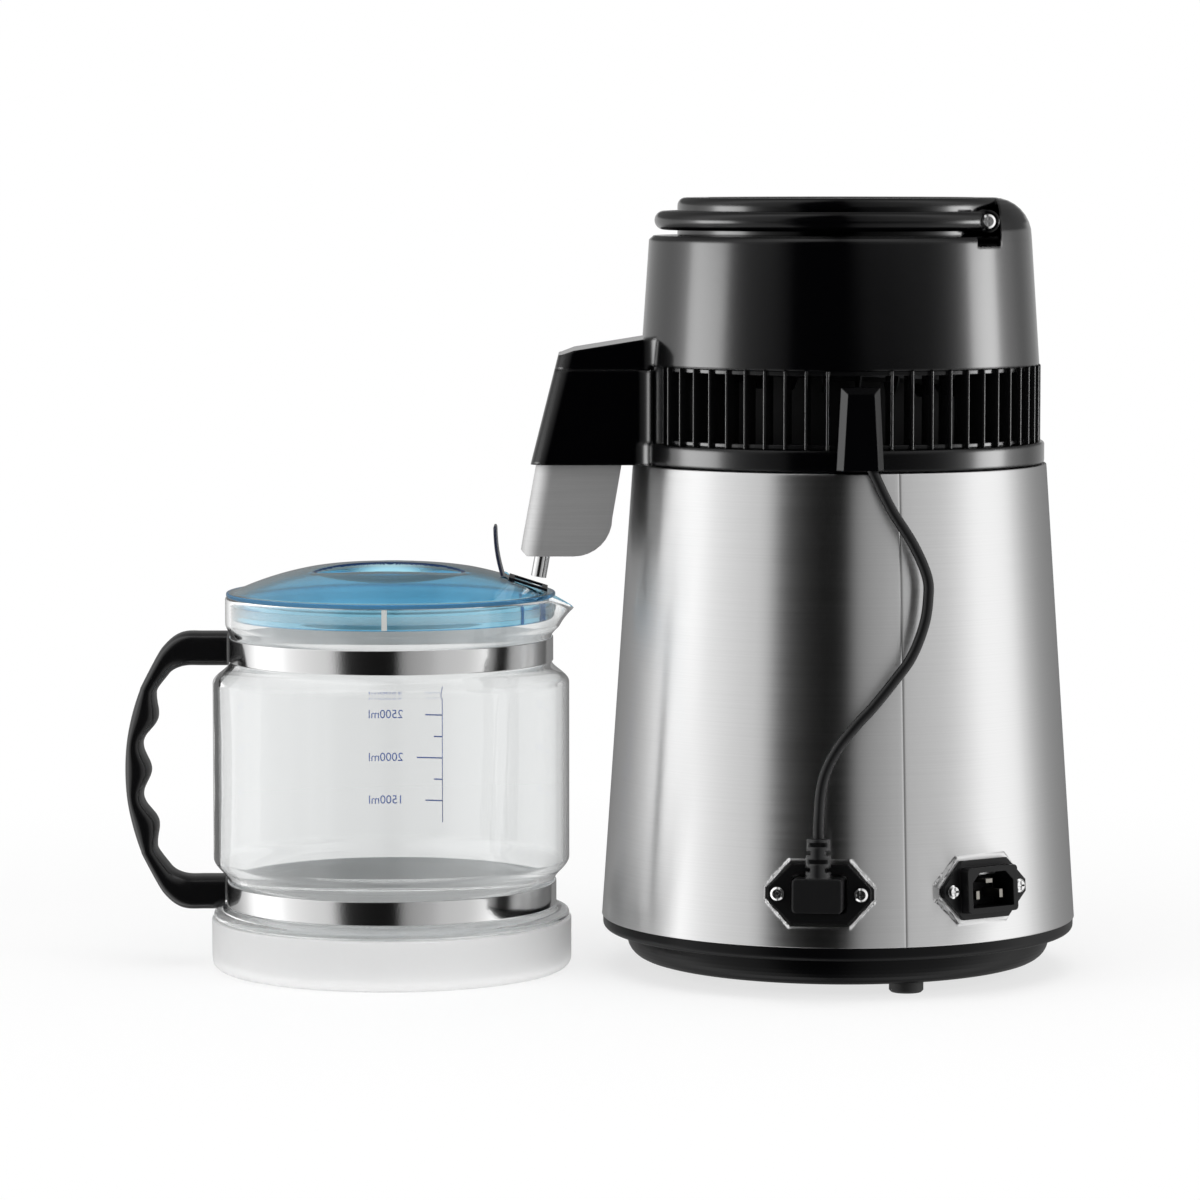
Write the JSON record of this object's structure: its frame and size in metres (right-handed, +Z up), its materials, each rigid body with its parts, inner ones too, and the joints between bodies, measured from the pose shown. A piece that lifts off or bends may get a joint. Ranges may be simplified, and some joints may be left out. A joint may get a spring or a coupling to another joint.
{
  "type": "countertop water distiller",
  "caption": "Countertop water distiller: steel boiler with a lift-off condenser head, plug-in lead and spout, and a lidded glass carafe that catches the water.",
  "frame": {"origin": "on the counter, under the axis of the boiler", "axes": "+Z up along the axis of the boiler, -Y towards the side with the two sockets, -X from the boiler towards the carafe"},
  "size_m": [0.4724, 0.2535, 0.3826],
  "materials": {
    "rubber_black": "matte",
    "tray_plastic": "satin black",
    "steel_brushed": "horizontally brushed",
    "steel_plain": "plain",
    "screw_steel": "bright plated",
    "aluminium_plain": "plain",
    "element_steel": "oxidised",
    "thermostat_body": "plain",
    "socket_plastic": "satin black",
    "pin_brass": "plated",
    "button_plastic": "gloss",
    "lamp_lens": "clear",
    "head_gloss": "gloss black",
    "louvre_plastic": "satin black",
    "silicone_clear": "translucent",
    "motor_metal": "plain",
    "fan_plastic": "plain",
    "cup_plastic": "plain",
    "charcoal_cloth": "woven",
    "lead_rubber": "satin",
    "clear_glass": "clear",
    "boot_plastic": "translucent frosted",
    "band_steel": "polished with a fine brush",
    "grip_plastic": "satin black",
    "lid_plastic": "translucent blue",
    "flap_plastic": "dark blue"
  },
  "bodies": {
    "base": {"feet": "rubber_black", "base_tray": "tray_plastic", "tray_screws": "screw_steel", "tank_posts": "steel_plain", "outer_shell": "steel_brushed", "boiler_tank": "steel_plain", "heater_plate": "aluminium_plain", "heating_element": "element_steel", "thermostats": "thermostat_body", "outlet_socket": "socket_plastic", "mains_inlet": "socket_plastic", "inlet_pins": "pin_brass", "socket_screws": "screw_steel", "button_bezel": "screw_steel", "switch_body": "socket_plastic", "indicator_lens": "lamp_lens"},
    "button": {"start_button": "button_plastic"},
    "head": {"vent_ring": "head_gloss", "louvre_ring": "louvre_plastic", "top_cover": "head_gloss", "top_grille": "louvre_plastic", "head_pan": "steel_plain", "seal_ring": "silicone_clear", "condenser_coil": "steel_plain", "condenser_fins": "aluminium_plain", "motor_bracket": "steel_plain", "air_duct": "fan_plastic", "fan_motor": "motor_metal", "spout_shroud": "steel_brushed", "drip_tube": "steel_plain", "filter_cup": "cup_plastic", "charcoal_sachet": "charcoal_cloth", "cord_cover": "head_gloss", "handle_screws": "screw_steel", "lead_upper": "lead_rubber"},
    "fan": {"fan_blades": "fan_plastic"},
    "handle": {"carry_handle": "head_gloss"},
    "plug": {"lead_plug": "lead_rubber", "plug_pins": "pin_brass", "lead_lower": "lead_rubber"},
    "carafe": {"carafe_glass": "clear_glass", "base_boot": "boot_plastic", "upper_band": "band_steel", "lower_band": "band_steel", "carafe_handle": "grip_plastic", "band_screws": "screw_steel"},
    "lid": {"carafe_lid": "lid_plastic", "lid_seal": "silicone_clear", "spout_seal": "flap_plastic", "flap_pin": "screw_steel"},
    "flap": {"lid_flap": "flap_plastic"}
  },
  "joints": [
    {"name": "head_lift", "type": "slide", "parent": "base", "child": "head", "axis": [0, 0, 1], "range_m": [0, 0.08]},
    {"name": "fan_spin", "type": "hinge", "parent": "head", "child": "fan", "pos_m": [0, 0, 0.339], "axis": [0, 0, 1], "continuous": true},
    {"name": "handle_swing", "type": "hinge", "parent": "head", "child": "handle", "pos_m": [0.06856, 0, 0.3714], "axis": [0, 1, 0], "range_deg": [0, 90]},
    {"name": "plug_pull", "type": "slide", "parent": "base", "child": "plug", "axis": [-0.1199, -0.9905, 0.0677], "range_m": [0, 0.022]},
    {"name": "button_press", "type": "slide", "parent": "base", "child": "button", "axis": [0, -0.9977, -0.0677], "range_m": [0, 0.0025], "stiffness_N_per_m": 500},
    {"name": "carafe_slide", "type": "slide", "parent": "base", "child": "carafe", "axis": [-1, 0, 0], "range_m": [0, 0.25]},
    {"name": "lid_turn", "type": "hinge", "parent": "carafe", "child": "lid", "pos_m": [-0.2225, 0, 0.1855], "axis": [0, 0, 1], "continuous": true},
    {"name": "flap_swing", "type": "hinge", "parent": "lid", "child": "flap", "pos_m": [-0.1663, 0, 0.1935], "axis": [0, 1, 0], "range_deg": [0, 25]}
  ]
}
